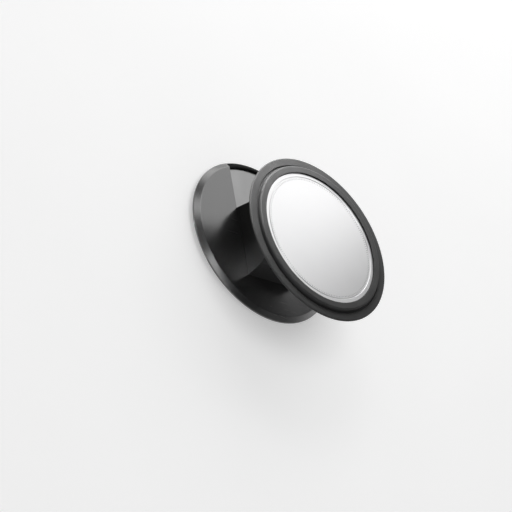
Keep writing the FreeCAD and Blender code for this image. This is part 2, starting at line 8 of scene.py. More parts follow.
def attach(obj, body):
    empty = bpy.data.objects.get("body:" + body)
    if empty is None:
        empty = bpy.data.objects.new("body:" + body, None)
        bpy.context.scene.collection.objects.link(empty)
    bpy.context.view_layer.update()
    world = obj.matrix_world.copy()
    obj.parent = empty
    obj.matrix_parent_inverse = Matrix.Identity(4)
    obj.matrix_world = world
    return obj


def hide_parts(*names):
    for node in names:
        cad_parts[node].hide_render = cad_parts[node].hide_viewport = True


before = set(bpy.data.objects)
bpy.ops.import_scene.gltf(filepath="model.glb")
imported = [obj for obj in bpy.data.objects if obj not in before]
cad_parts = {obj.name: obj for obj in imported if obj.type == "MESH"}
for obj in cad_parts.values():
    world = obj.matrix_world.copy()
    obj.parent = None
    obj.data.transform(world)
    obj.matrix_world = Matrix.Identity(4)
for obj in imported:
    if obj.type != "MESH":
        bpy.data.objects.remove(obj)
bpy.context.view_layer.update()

# Contact pad: a thin silicone sheet under the base, die-cut round and glued to the tray's underside.
# Shallow rings pressed into its underside let the air out as it is set down.
MM = 0.001                  # sizes here are in millimetres, Blender's are in metres
TURN_STEPS = 240            # straight runs round a turned piece
ROUND_STEPS = 5             # straight runs in the rounding of one corner
SHARP = math.radians(32)    # an edge that turns by more stays sharp
PAD_RADIUS = 26.2
PAD_TOP = 0.4
VENT_RADII = (7.0, 13.0, 19.0)
VENT_WIDTH = 0.7
VENT_FLANK = 0.15
VENT_DEPTH = 0.12


def rounded(corners):
    """The points of a closed outline whose corners are given as across, up and rounding, in millimetres,
    each with its share of edge: 1 in the middle of a rounding and 0 on the flats."""
    points = []
    for index, (across, up, rounding) in enumerate(corners):
        here = Vector((across, up))
        if not rounding:
            points.append((here, 0.0))
            continue
        before = (Vector(corners[index - 1][:2]) - here).normalized()
        after = (Vector(corners[(index + 1) % len(corners)][:2]) - here).normalized()
        half = before.angle(after) / 2
        centre = here + (before + after).normalized() * rounding / math.sin(half)
        start = here + before * rounding / math.tan(half) - centre
        sweep = start.angle_signed(here + after * rounding / math.tan(half) - centre)
        for step in range(ROUND_STEPS + 1):
            share = step / ROUND_STEPS
            points.append((centre + Matrix.Rotation(-sweep * share, 2) @ start, math.sin(math.pi * share)))
    return points


def finished(name, work):
    """The mesh of a worked shape: outward faces, smooth but for its sharp edges."""
    bmesh.ops.recalc_face_normals(work, faces=work.faces)
    mesh = bpy.data.meshes.new(name)
    work.to_mesh(mesh)
    work.free()
    mesh.shade_smooth()
    mesh.set_sharp_from_angle(angle=SHARP)
    return mesh


def turned(name, corners, along=0.0, steps=TURN_STEPS):
    """A mesh turned about an upright axis from its closed half section, with the share of edge as an attribute."""
    work = bmesh.new()
    edge = work.verts.layers.float.new("edge")
    rings = []
    for (across, up), share in rounded(corners):
        places = steps if across > 0 else 1
        ring = []
        for place in range(places):
            angle = 2 * math.pi * place / places
            spot = Vector((across * math.cos(angle), along + across * math.sin(angle), up)) * MM
            ring.append(work.verts.new(spot))
            ring[-1][edge] = share
        rings.append(ring)
    for near, far in zip(rings, rings[1:] + rings[:1]):
        for place in range(steps):
            loop = [near[place % len(near)], near[(place + 1) % len(near)],
                    far[(place + 1) % len(far)], far[place % len(far)]]
            loop = list(dict.fromkeys(loop))
            if len(loop) > 2:
                work.faces.new(loop)
    return finished(name, work)


def work_object(name, mesh):
    """An object in the scene that holds a mesh."""
    piece = bpy.data.objects.new(name, mesh)
    bpy.context.scene.collection.objects.link(piece)
    return piece


def made_real(work_piece):
    """The mesh that a working object's modifiers give; the object is taken away."""
    evaluated = work_piece.evaluated_get(bpy.context.evaluated_depsgraph_get())
    mesh = bpy.data.meshes.new_from_object(evaluated)
    bpy.data.objects.remove(work_piece)
    return mesh


def shown(name, mesh, material, body, node):
    """A piece of the part on its body, with its finish, standing for its solid. Its flats are shaded flat."""
    flats = work_object(name, mesh)
    flats.modifiers.new("flats", "WEIGHTED_NORMAL").keep_sharp = True
    mesh = made_real(flats)
    mesh.materials.clear()
    mesh.materials.append(material)
    piece = work_object(name, mesh)
    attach(piece, body)
    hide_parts(node)
    return piece


def shader_group(name, inputs, outputs):
    """An empty shader group with named value inputs and outputs, and its two ends."""
    group = bpy.data.node_groups.new(name, "ShaderNodeTree")
    for label, start in inputs:
        group.interface.new_socket(label, in_out="INPUT", socket_type="NodeSocketFloat").default_value = start
    for label in outputs:
        group.interface.new_socket(label, in_out="OUTPUT", socket_type="NodeSocketFloat")
    return group, group.nodes.new("NodeGroupInput"), group.nodes.new("NodeGroupOutput")


def sum_node(tree, operation, *values):
    """A math node fed by sockets or plain numbers; its result socket."""
    node = tree.nodes.new("ShaderNodeMath")
    node.operation = operation
    for socket, value in zip(node.inputs, values):
        if isinstance(value, bpy.types.NodeSocket):
            tree.links.new(value, socket)
        else:
            socket.default_value = value
    return node.outputs[0]


def noise(group, size, detail):
    """A noise over the piece's own coordinates; its size is a socket, in millimetres."""
    place = group.nodes.new("ShaderNodeTexCoord")
    field = group.nodes.new("ShaderNodeTexNoise")
    field.inputs["Detail"].default_value = detail
    group.links.new(place.outputs["Object"], field.inputs["Vector"])
    group.links.new(sum_node(group, "DIVIDE", 1 / MM, size), field.inputs["Scale"])
    return field.outputs["Fac"]


# The surface of a moulded or blasted face: a fine grain with a slower swell in it.
moulded_grain, grain_in, grain_out = shader_group(
    "moulded_grain", [("Grain Size", 0.2), ("Swell Size", 4.0)], ["Height", "Mottle"])
for label, detail, target in (("Grain Size", 3.0, "Height"), ("Swell Size", 4.0, "Mottle")):
    moulded_grain.links.new(noise(moulded_grain, grain_in.outputs[label], detail), grain_out.inputs[target])


def finish(name, **constants):
    """A new material with its shader, whose constant values are set on the shader's own sockets."""
    material = bpy.data.materials.new(name)
    material.use_nodes = True
    shader = material.node_tree.nodes["Principled BSDF"]
    for label, value in constants.items():
        shader.inputs[label.replace("_", " ")].default_value = value
    return material, material.node_tree, shader


def group_node(tree, group, **values):
    """A shader group placed in a material with its own values."""
    node = tree.nodes.new("ShaderNodeGroup")
    node.node_tree = group
    for label, value in values.items():
        node.inputs[label.replace("_", " ")].default_value = value
    return node


def tone(tree, factor, tints, places=(0.3, 0.7)):
    """A grey or colour that goes from one tint to another between two places of a factor."""
    ramp = tree.nodes.new("ShaderNodeValToRGB")
    for stop, place, tint in zip(ramp.color_ramp.elements, places, tints):
        stop.position = place
        stop.color = (*tint, 1.0) if isinstance(tint, tuple) else (tint, tint, tint, 1.0)
    tree.links.new(factor, ramp.inputs["Fac"])
    return ramp.outputs["Color"]


def bump(tree, shader, height, depth):
    """Lays a height, in millimetres of depth, on the shader's normal."""
    node = tree.nodes.new("ShaderNodeBump")
    node.inputs["Distance"].default_value = depth * MM
    tree.links.new(height, node.inputs["Height"])
    tree.links.new(node.outputs["Normal"], shader.inputs["Normal"])


def grained(name, grain_size, swell_size, tints, roughness, depth, rough_from="Mottle", **constants):
    """A grained finish: tint and roughness wander between two values, over a grain of a depth in millimetres."""
    material, tree, shader = finish(name, **constants)
    grain = group_node(tree, moulded_grain, Grain_Size=grain_size, Swell_Size=swell_size)
    tree.links.new(tone(tree, grain.outputs["Mottle"], tints), shader.inputs["Base Color"])
    tree.links.new(tone(tree, grain.outputs[rough_from], roughness), shader.inputs["Roughness"])
    if depth:
        bump(tree, shader, grain.outputs["Height"], depth)
    return material


pad_silicone = grained(
    "pad_silicone", grain_size=0.12, swell_size=6.0, tints=(0.040, 0.058), roughness=(0.62, 0.74), depth=0.03,
    IOR=1.42)
vent_corners = [
    corner
    for radius in VENT_RADII
    for corner in (
        (radius, 0, 0), (radius + VENT_FLANK, VENT_DEPTH, 0),
        (radius + VENT_WIDTH - VENT_FLANK, VENT_DEPTH, 0), (radius + VENT_WIDTH, 0, 0))
]
pad_corners = [(0, 0, 0), *vent_corners, (PAD_RADIUS, 0, 0.15), (PAD_RADIUS, PAD_TOP, 0), (0, PAD_TOP, 0)]
shown("contact_pad", turned("contact_pad", pad_corners), pad_silicone, "base", "base_pad")

# Base tray: a spun aluminium dish, black anodised, that slants in under its rim.
# The magnets are bonded to its floor and the cover's spigot drops inside its wall.
TRAY_FLOOR = 0.8
TRAY_RIM = 2.0
TRAY_RADIUS = 27.9
TRAY_WALL = 26.55       # the radius inside its wall

# Handling rubs the roundings first, and the roundings also catch the light: a mask on the edges of turned pieces,
# broken into patches, that lightens them as wear and as a painted highlight.
edge_wear_and_sheen, wear_and_sheen_in, wear_and_sheen_out = shader_group("edge_wear_and_sheen", [("Patch Size", 1.5), ("Amount", 0.5)], ["Wear"])
on_rounding = edge_wear_and_sheen.nodes.new("ShaderNodeAttribute")
on_rounding.attribute_name = "edge"
patches = noise(edge_wear_and_sheen, wear_and_sheen_in.outputs["Patch Size"], 3.0)
worn_and_lit = sum_node(edge_wear_and_sheen, "MULTIPLY", on_rounding.outputs["Fac"], patches)
worn_and_lit = sum_node(edge_wear_and_sheen, "MULTIPLY", worn_and_lit, wear_and_sheen_in.outputs["Amount"])
edge_wear_and_sheen.links.new(worn_and_lit, wear_and_sheen_out.inputs["Wear"])


def shade(material, factor):
    """Multiplies the grey of a finish by a factor."""
    tree = material.node_tree
    base = tree.nodes["Principled BSDF"].inputs["Base Color"]
    tree.links.new(sum_node(tree, "MULTIPLY", base.links[0].from_socket, factor), base)


def rub_and_light_edges(material, patch_size, amount):
    """Lightens the grey of a finish on its roundings, as rubbed wear and as a painted highlight along the edges.
    """
    wear_and_sheen_node = group_node(material.node_tree, edge_wear_and_sheen, Patch_Size=patch_size, Amount=amount)
    shade(material, sum_node(material.node_tree, "ADD", wear_and_sheen_node.outputs["Wear"], 1.0))


tray_anodised = grained(
    "tray_anodised", grain_size=0.06, swell_size=9.0, tints=(0.075, 0.105), roughness=(0.26, 0.34), depth=0.004,
    Metallic=1.0, Anisotropic=0.3)
# Its roundings are lightened, partly as wear and partly as a painted highlight.
rub_and_light_edges(tray_anodised, patch_size=1.2, amount=0.8)
tray_corners = [
    (0, PAD_TOP, 0), (26.7, PAD_TOP, 0.12), (TRAY_RADIUS, 1.3, 0.2), (TRAY_RADIUS, TRAY_RIM, 0.06),
    (TRAY_WALL, TRAY_RIM, 0.06), (TRAY_WALL, TRAY_FLOOR, 0), (0, TRAY_FLOOR, 0),
]
shown("tray", turned("tray", tray_corners), tray_anodised, "base", "base_tray")

# Magnet ring of the base: sixteen sintered arc magnets, nickel plated, with ground edges,
# bonded to the tray's floor under a flat ring of cold-rolled steel that closes their field.
ARC_STEPS = 8               # straight runs along one magnet
MAGNET_EDGE = 0.15
YOKE_EDGE = 0.08
BASE_MAGNETS = (21.9, 25.8)     # their inner and outer radius
BASE_YOKE_TOP = 2.4

ring_of_copies = bpy.data.node_groups.new("ring_of_copies", "GeometryNodeTree")
for label, kind in (("Geometry", "NodeSocketGeometry"), ("Copies", "NodeSocketInt"),
                    ("Start", "NodeSocketFloat"), ("Centre", "NodeSocketVector"),
                    ("Finish", "NodeSocketMaterial")):
    ring_of_copies.interface.new_socket(label, in_out="INPUT", socket_type=kind)
ring_of_copies.interface.new_socket("Geometry", in_out="OUTPUT", socket_type="NodeSocketGeometry")
ring_in = ring_of_copies.nodes.new("NodeGroupInput")
ring_out = ring_of_copies.nodes.new("NodeGroupOutput")
spots = ring_of_copies.nodes.new("GeometryNodePoints")
counter = ring_of_copies.nodes.new("GeometryNodeInputIndex")
one_turn = sum_node(ring_of_copies, "DIVIDE", 2 * math.pi, ring_in.outputs["Copies"])
own_turn = sum_node(ring_of_copies, "MULTIPLY", counter.outputs["Index"], one_turn)
own_turn = sum_node(ring_of_copies, "ADD", own_turn, ring_in.outputs["Start"])
about_axis = ring_of_copies.nodes.new("ShaderNodeCombineXYZ")
as_rotation = ring_of_copies.nodes.new("FunctionNodeEulerToRotation")
copies = ring_of_copies.nodes.new("GeometryNodeInstanceOnPoints")
real = ring_of_copies.nodes.new("GeometryNodeRealizeInstances")
painted = ring_of_copies.nodes.new("GeometryNodeSetMaterial")
for source, target in (
        (ring_in.outputs["Copies"], spots.inputs["Count"]),
        (ring_in.outputs["Centre"], spots.inputs["Position"]),
        (own_turn, about_axis.inputs["Z"]),
        (about_axis.outputs["Vector"], as_rotation.inputs["Euler"]),
        (spots.outputs["Points"], copies.inputs["Points"]),
        (ring_in.outputs["Geometry"], copies.inputs["Instance"]),
        (as_rotation.outputs["Rotation"], copies.inputs["Rotation"]),
        (copies.outputs["Instances"], real.inputs["Geometry"]),
        (real.outputs["Geometry"], painted.inputs["Geometry"]),
        (ring_in.outputs["Finish"], painted.inputs["Material"]),
        (painted.outputs["Geometry"], ring_out.inputs["Geometry"])):
    ring_of_copies.links.new(source, target)


def copied_round(name, mesh, count, centre, material, start=0.0):
    """Equal copies of a mesh, turned round an upright axis through a centre given in millimetres."""
    pattern = work_object(name, mesh)
    modifier = pattern.modifiers.new("ring", "NODES")
    modifier.node_group = ring_of_copies
    sockets = {
        item.name: item.identifier
        for item in ring_of_copies.interface.items_tree if item.in_out == "INPUT"
    }
    modifier[sockets["Copies"]] = count
    modifier[sockets["Start"]] = start
    modifier[sockets["Centre"]] = [axis * MM for axis in centre]
    modifier[sockets["Finish"]] = material
    return made_real(pattern)


def arc_magnet(name, inner, outer, thickness, sweep):
    """A flat arc of rectangular section with broken long edges, given in millimetres and degrees."""
    section = [
        (inner, MAGNET_EDGE), (inner + MAGNET_EDGE, 0), (outer - MAGNET_EDGE, 0), (outer, MAGNET_EDGE),
        (outer, thickness - MAGNET_EDGE), (outer - MAGNET_EDGE, thickness), (inner + MAGNET_EDGE, thickness),
        (inner, thickness - MAGNET_EDGE),
    ]
    work = bmesh.new()
    slices = []
    for step in range(ARC_STEPS + 1):
        angle = math.radians(sweep) * step / ARC_STEPS
        slices.append([
            work.verts.new(Vector((across * math.cos(angle), across * math.sin(angle), up)) * MM)
            for across, up in section
        ])
    for near, far in zip(slices, slices[1:]):
        for place in range(len(section)):
            after = (place + 1) % len(section)
            work.faces.new((near[place], near[after], far[after], far[place]))
    work.faces.new(slices[0])
    work.faces.new(slices[-1])
    return finished(name, work)


def yoke(name, inner, outer, low, high, along=0.0):
    """A flat ring with eased edges."""
    corners = [(inner, low), (outer, low), (outer, high), (inner, high)]
    return turned(name, [(*corner, YOKE_EDGE) for corner in corners], along)


nickel_plate = grained(
    "nickel_plate", grain_size=0.05, swell_size=2.0, tints=((0.55, 0.53, 0.49), (0.66, 0.64, 0.60)),
    roughness=(0.18, 0.30), depth=0.003, Metallic=1.0)
base_arc = arc_magnet("base_arc", *BASE_MAGNETS, thickness=1.2, sweep=19.5)
base_arcs = copied_round("base_arcs", base_arc, 16, (0, 0, TRAY_FLOOR), nickel_plate)
shown("magnets_of_base", base_arcs, nickel_plate, "base", "base_magnets")

rolled_steel = grained(
    "rolled_steel", grain_size=0.08, swell_size=5.0, tints=(0.42, 0.54), roughness=(0.34, 0.48), depth=0.004,
    Metallic=1.0)
base_ring = yoke("yoke_of_base", *BASE_MAGNETS, TRAY_RIM, BASE_YOKE_TOP)
shown("yoke_of_base", base_ring, rolled_steel, "base", "base_yoke")

# Base cover: a bevelled lid moulded in black and polished to a mirror, snapped into the tray by its spigot.
# A flat strip, 20 mm wide, is sunk into its face from the bracket to the rim.
EDGE_STEPS = 3          # straight runs in the rounding of a hard edge
COVER_FACE = 3.8
COVER_RADIUS = 28.9
SPIGOT = (25.9, 26.5)   # its inner and outer radius
SPIGOT_FOOT = 1.4
CUT_TOP = 4.6           # clear above the cover's face
HINGE = (-2.7, 14.6)    # the pin's place along and up; the bracket stands about it
BRACKET_SCREWS_APART = 12.6
SCREW_CLEARANCE = 1.1   # the radius of a hole that a screw passes through
STRIP_HALF = 10.0
STRIP_START = 9.75      # at the bracket's foot
STRIP_END = 26.5        # the radius where the strip meets the soft stop
STRIP_FLOOR = 3.0
RECESS_FLOOR = 2.5
RECESS_END = 28.5
RECESS_LAP = 0.02       # the recess cuts this far into the strip, so that no skin is left between them
HAIR_STRETCH = 60       # a hair scratch is so many times as long as it is wide
HAIR_LIMIT = 0.77       # the noise above which a hair scratch shows
HAIR_DEPTH = 0.0003
FLAT = 0.01             # how near a face's height has to be to lie on the strip's floor

# Wiping leaves a mirror finish slightly uneven: slow smears and fine hair scratches.
polish, polish_in, polish_out = shader_group(
    "polish", [("Roughness", 0.1), ("Smear", 0.05), ("Scratch", 0.05)], ["Roughness", "Height"])
polish_place = polish.nodes.new("ShaderNodeTexCoord")
smears = polish.nodes.new("ShaderNodeTexNoise")
smears.inputs["Scale"].default_value = 130.0
smears.inputs["Detail"].default_value = 4.0
smears.inputs["Distortion"].default_value = 0.8
polish.links.new(polish_place.outputs["Object"], smears.inputs["Vector"])
hair_sum = 0.0
for angle, stretch in ((0.5, 40.0), (1.9, 55.0), (2.7, 33.0)):
    hair_place = polish.nodes.new("ShaderNodeMapping")
    hair_place.inputs["Rotation"].default_value = (0, 0, angle)
    hair_place.inputs["Scale"].default_value = (stretch, stretch * HAIR_STRETCH, stretch)
    polish.links.new(polish_place.outputs["Object"], hair_place.inputs["Vector"])
    hairs = polish.nodes.new("ShaderNodeTexNoise")
    hairs.inputs["Scale"].default_value = 1.0
    hairs.inputs["Detail"].default_value = 1.0
    polish.links.new(hair_place.outputs["Vector"], hairs.inputs["Vector"])
    hair = sum_node(polish, "GREATER_THAN", hairs.outputs["Fac"], HAIR_LIMIT)
    hair_sum = sum_node(polish, "ADD", hair_sum, hair)
smear = sum_node(polish, "MULTIPLY", smears.outputs["Fac"], polish_in.outputs["Smear"])
scratch = sum_node(polish, "MULTIPLY", hair_sum, polish_in.outputs["Scratch"])
wiped = sum_node(polish, "ADD", sum_node(polish, "ADD", smear, scratch), polish_in.outputs["Roughness"])
polish.links.new(wiped, polish_out.inputs["Roughness"])
polish.links.new(hair_sum, polish_out.inputs["Height"])


def polished(name, roughness, swell_size, tints, **constants):
    """A polished finish that has been wiped in use, its tint wandering between two greys."""
    material, tree, shader = finish(name, **constants)
    wiped = group_node(tree, polish, Roughness=roughness, Smear=0.08, Scratch=0.03)
    tree.links.new(wiped.outputs["Roughness"], shader.inputs["Roughness"])
    grain = group_node(tree, moulded_grain, Swell_Size=swell_size)
    tree.links.new(tone(tree, grain.outputs["Mottle"], tints), shader.inputs["Base Color"])
    bump(tree, shader, wiped.outputs["Height"], -HAIR_DEPTH)
    return material


def prism(name, points, low, high, axis):
    """A straight bar over an outline: points along and up, drawn along X, or flat and drawn along Z."""
    work = bmesh.new()
    ends = []
    for depth in (low, high):
        spots = [(depth, *point) if axis == "X" else (*point, depth) for point in points]
        ends.append([work.verts.new(Vector(spot) * MM) for spot in spots])
    work.faces.new(ends[0])
    work.faces.new(ends[1])
    for place in range(len(points)):
        after = (place + 1) % len(points)
        work.faces.new((ends[0][place], ends[0][after], ends[1][after], ends[1][place]))
    return finished(name, work)


def arc(centre, radius, start, stop, steps):
    """Points along an arc, in millimetres and degrees."""
    angles = [math.radians(start + (stop - start) * step / steps) for step in range(steps + 1)]
    return [(centre[0] + radius * math.cos(angle), centre[1] + radius * math.sin(angle)) for angle in angles]


def circle(centre, radius, steps):
    """Points round a circle."""
    return arc(centre, radius, 0, 360, steps)[:-1]


def corner_bores(radius, apart, low, high):
    """Cutters for four upright holes on the corners of a square centred on the hinge."""
    half = apart / 2
    return [
        prism("bore", circle((side * half, HINGE[0] + end * half), radius, 32), low, high, "Z")
        for side in (-1, 1) for end in (-1, 1)
    ]


def across_strip(radius):
    """Points of an arc round the base's axis, from one side of the strip to the other."""
    start = math.degrees(math.acos(STRIP_HALF / radius))
    return arc((0, 0), radius, start, 180 - start, 48)


def worked(name, mesh, cuts=(), joins=(), edge=0.0, edge_angle=50):
    """A mesh with other meshes joined on, cutters taken out, and its hard edges rounded."""
    piece = work_object(name, mesh)
    tools = []
    for meshes, operation in ((joins, "UNION"), (cuts, "DIFFERENCE")):
        for tool_mesh in meshes:
            tools.append(work_object("tool", tool_mesh))
            boolean = piece.modifiers.new("work", "BOOLEAN")
            boolean.operation = operation
            boolean.solver = "EXACT"
            boolean.object = tools[-1]
    if edge:
        rounding = piece.modifiers.new("edge", "BEVEL")
        rounding.width = edge * MM
        rounding.segments = EDGE_STEPS
        rounding.limit_method = "ANGLE"
        rounding.angle_limit = math.radians(edge_angle)
    result = made_real(piece)
    for tool in tools:
        bpy.data.objects.remove(tool)
    result.shade_smooth()
    result.set_sharp_from_angle(angle=SHARP)
    return result


cover_black = polished(
    "cover_black", roughness=0.20, swell_size=12.0, tints=(0.008, 0.0112),
    IOR=1.75, Coat_Weight=1.0, Coat_Roughness=0.2, Coat_IOR=1.5)
cover_corners = [
    (0, BASE_YOKE_TOP, 0), (SPIGOT[0], BASE_YOKE_TOP, 0), (SPIGOT[0], SPIGOT_FOOT, 0),
    (SPIGOT[1], SPIGOT_FOOT, 0.08), (SPIGOT[1], TRAY_RIM, 0), (COVER_RADIUS, TRAY_RIM, 0.1),
    (COVER_RADIUS, 2.55, 0.2), (27.05, COVER_FACE, 0.6), (0, COVER_FACE, 0),
]
strip_outline = [(-STRIP_HALF, STRIP_START), (STRIP_HALF, STRIP_START), *across_strip(STRIP_END)]
recess_outline = across_strip(STRIP_END - RECESS_LAP) + across_strip(RECESS_END)[::-1]
cover_cuts = [
    prism("strip_cut", strip_outline, STRIP_FLOOR, CUT_TOP, "Z"),
    prism("recess_cut", recess_outline, RECESS_FLOOR, CUT_TOP, "Z"),
    *corner_bores(SCREW_CLEARANCE, BRACKET_SCREWS_APART, 2.0, 4.2),
]
cover = worked("cover", turned("cover", cover_corners), cover_cuts, edge=0.12)
base_lid = shown("cover", cover, cover_black, "base", "base_cover")

# The strip's floor is hot-stamped with a smoked metal film, lighter than the lid round it.
smoked_film = polished("smoked_film", roughness=0.2, swell_size=8.0, tints=(0.235, 0.27), Metallic=1.0)
base_lid.data.materials.append(smoked_film)
for face in base_lid.data.polygons:
    on_floor = abs(face.center.z - STRIP_FLOOR * MM) < FLAT * MM and face.normal.z > 0.99
    face.material_index = 1 if on_floor else 0

# Rim stop: a soft black rubber strip pressed into a recess of the rim at the strip's end.
# It follows the bevel of the rim and stays dull where the cover shines; its near-black tint is also painted shade,
# standing for the shade of a gap at the strip's end.
STOP_HALF = 9.95
STOP_RADII = (26.55, 28.45)
STOP_TOP = 3.75
CLEAR = 40      # past the base on every side


def rectangle(left, near, right, far):
    """The corners of a rectangle."""
    return [(left, near), (right, near), (right, far), (left, far)]


# Painted shade in part: the stop is tinted near-black and kept dull, so that it shows as the shaded gap at the
# strip's end.
stop_rubber = grained(
    "stop_rubber", grain_size=0.1, swell_size=3.0, tints=(0.005, 0.009), roughness=(0.85, 0.95), depth=0.01,
    IOR=1.4, Specular_IOR_Level=0.2)
stop_corners = [
    (STOP_RADII[0], RECESS_FLOOR, 0), (STOP_RADII[1], RECESS_FLOOR, 0), (STOP_RADII[1], 2.8, 0.1),
    (27.05, STOP_TOP, 0.4), (STOP_RADII[0], STOP_TOP, 0.1),
]
past_stop = [
    prism("past_stop", outline, 1.0, 5.0, "Z")
    for outline in (
        rectangle(-CLEAR, -CLEAR, CLEAR, 0),
        rectangle(-CLEAR, -1, -STOP_HALF, CLEAR),
        rectangle(STOP_HALF, -1, CLEAR, CLEAR))
]
stop = worked("stop", turned("stop", stop_corners), past_stop)
shown("stop", stop, stop_rubber, "base", "rim_stop")

# Neck bracket: a drafted black moulding, polished like the cover, that rises to two round-topped cheeks.
# The tongue of the disc turns in its slot; the pin runs through both cheeks.
BRACKET_HALF = 10
FOOT_HALF = 12.45
SHOULDER = (11.36, 10.4)    # where the drafted sides end, along from the pin and up
CHEEK_RADIUS = 6.0
SLOT_HALF = 5.1
SLOT_FLOOR = 8.5
PIN_BORE = 2.05
COUNTERBORE = 4.2
COUNTERBORE_SPAN = (6.7, 11)    # from its floor to clear of the side
SCREW_HOLE = 1.02
bracket_black = polished(
    "bracket_black", roughness=0.26, swell_size=12.0, tints=(0.010, 0.014), IOR=1.42, Specular_IOR_Level=0.4)
shoulder_drop = SHOULDER[1] - HINGE[1]
reach = math.hypot(SHOULDER[0], shoulder_drop)
touch = math.degrees(math.atan2(shoulder_drop, SHOULDER[0]) + math.acos(CHEEK_RADIUS / reach))
bracket_side = [
    (HINGE[0] - FOOT_HALF, COVER_FACE), (HINGE[0] + FOOT_HALF, COVER_FACE),
    (HINGE[0] + SHOULDER[0], SHOULDER[1]), *arc(HINGE, CHEEK_RADIUS, touch, 180 - touch, 28),
    (HINGE[0] - SHOULDER[0], SHOULDER[1]),
]
inner, outer = COUNTERBORE_SPAN
bracket_cuts = [
    prism("tongue_slot", rectangle(-16, SLOT_FLOOR, 12, 22), -SLOT_HALF, SLOT_HALF, "X"),
    prism("pin_bore", circle(HINGE, PIN_BORE, 48), -outer, outer, "X"),
    prism("counterbore", circle(HINGE, COUNTERBORE, 72), -outer, -inner, "X"),
    prism("counterbore", circle(HINGE, COUNTERBORE, 72), inner, outer, "X"),
    *corner_bores(SCREW_HOLE, BRACKET_SCREWS_APART, 3.0, 7.0),
]
bracket = prism("bracket", bracket_side, -BRACKET_HALF, BRACKET_HALF, "X")
bracket = worked("bracket", bracket, bracket_cuts, edge=0.22, edge_angle=20)
neck = shown("bracket", bracket, bracket_black, "base", "neck_bracket")

# Screws that hold the bracket: four pan-head steel screws with a hexagon socket, turned and rolled.
# They are driven up from inside the base, through the cover and into the bracket's foot.
HEAD_RADIUS = 1.9
HEAD_HEIGHT = 1.0
SHANK_RADIUS = 1.0
SOCKET_RADIUS = 0.85
SOCKET_SPAN = (0.4, 1.4)    # from its floor to clear of the head
turned_steel = grained(
    "turned_steel", grain_size=0.04, swell_size=1.5, tints=(0.40, 0.52), roughness=(0.24, 0.38), depth=0.003,
    Metallic=1.0)


def screws(name, apart, length, head_up, seat):
    """Four screws on the corners of a square centred on the hinge, their heads seated at one height."""
    way = 1 if head_up else -1
    outline = [
        (0, way * HEAD_HEIGHT, 0), (HEAD_RADIUS, way * HEAD_HEIGHT, 0.35), (HEAD_RADIUS, 0, 0.1),
        (SHANK_RADIUS, 0, 0), (SHANK_RADIUS, -way * length, 0.2), (0, -way * length, 0),
    ]
    socket_low, socket_high = sorted(way * height for height in SOCKET_SPAN)
    socket = prism("socket", arc((0, 0), SOCKET_RADIUS, 5, 305, 5), socket_low, socket_high, "Z")
    screw = worked(name, turned(name, outline, steps=36), [socket])
    screw.transform(Matrix.Translation((apart / math.sqrt(2) * MM, 0, 0)))
    return copied_round(name, screw, 4, (0, HINGE[0], seat), turned_steel, math.pi / 4)


bracket_screws = screws("bracket_screws_set", BRACKET_SCREWS_APART, 4.4, False, BASE_YOKE_TOP)
shown("bracket_screws_set", bracket_screws, turned_steel, "base", "bracket_screws")

# Hinge pin, its nut and the two cone springs: turned and stamped steel, hidden under the caps.
# The springs press the cheeks on to the friction washers so that the disc stays where it is put.


def coat(node, material):
    """Gives a piece that is shown as its own solid a finish."""
    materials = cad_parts[node].data.materials
    materials.clear()
    materials.append(material)


for node in ("hinge_pin", "hinge_nut", "spring_washers"):
    coat(node, turned_steel)

# Friction washers: two flat rings punched from dark bearing plastic, one each side of the tongue.
# The pin holds them in place, and their drag keeps the disc from swinging freely.
bearing_plastic = grained(
    "bearing_plastic", grain_size=0.1, swell_size=1.5, tints=((0.13, 0.12, 0.10), (0.19, 0.175, 0.15)),
    roughness=(0.42, 0.58), depth=0.006, IOR=1.5)
coat("friction_washers", bearing_plastic)

# Pin caps: two thin black discs pressed flush into the bracket's sides over the pin's head and nut.
# Each is dished and has a broken edge, and takes the bracket's polish.
CAP_RADIUS = 4.15
CAP_INNER = 9.2         # its inner face, from the middle of the pin
CAP_DISH = 9.8
cap_corners = [
    (0, CAP_INNER, 0), (CAP_RADIUS, CAP_INNER, 0), (CAP_RADIUS, BRACKET_HALF, 0.12), (3.3, BRACKET_HALF, 0.1),
    (2.9, CAP_DISH, 0.2), (0, CAP_DISH, 0),
]
cap = turned("cap", cap_corners, steps=96)
both_caps = bmesh.new()
for turn in (math.pi / 2, -math.pi / 2):
    side_cap = cap.copy()
    side_cap.transform(Matrix.Translation((0, HINGE[0] * MM, HINGE[1] * MM)) @ Matrix.Rotation(turn, 4, "Y"))
    both_caps.from_mesh(side_cap)
shown("caps", finished("caps", both_caps), bracket_black, "base", "pin_caps")

# Hinge knuckle: a round plate with a tongue, moulded in one, screwed to the disc's back from inside.
# The tongue turns on the pin between the cheeks; its root is filleted into the plate.
KNUCKLE_RADIUS = 10.11
KNUCKLE_BACK = 21.1
SHELL_BACK = 22.7
TONGUE_RADIUS = 5.6
TONGUE_HALF = 4.5
TONGUE_ROOT = 21.7      # a little way into the plate
KNUCKLE_SCREWS_APART = 11.04
knuckle_corners = [
    (0, KNUCKLE_BACK, 0), (KNUCKLE_RADIUS, KNUCKLE_BACK, 0.4), (KNUCKLE_RADIUS, SHELL_BACK, 0.06),
    (0, SHELL_BACK, 0),
]
tongue_side = [
    (HINGE[0] + TONGUE_RADIUS, TONGUE_ROOT), (HINGE[0] - TONGUE_RADIUS, TONGUE_ROOT),
    *arc(HINGE, TONGUE_RADIUS, 180, 360, 40),
]
tongue = prism("tongue", tongue_side, -TONGUE_HALF, TONGUE_HALF, "X")
knuckle_cuts = [
    prism("tongue_bore", circle(HINGE, PIN_BORE, 48), -6, 6, "X"),
    *corner_bores(SCREW_HOLE, KNUCKLE_SCREWS_APART, 21.2, 23.1),
]
knuckle_plate = turned("knuckle", knuckle_corners, HINGE[0], steps=128)
knuckle = worked("knuckle", knuckle_plate, knuckle_cuts, [tongue], edge=0.3)
shown("knuckle", knuckle, bracket_black, "disc", "hinge_knuckle")

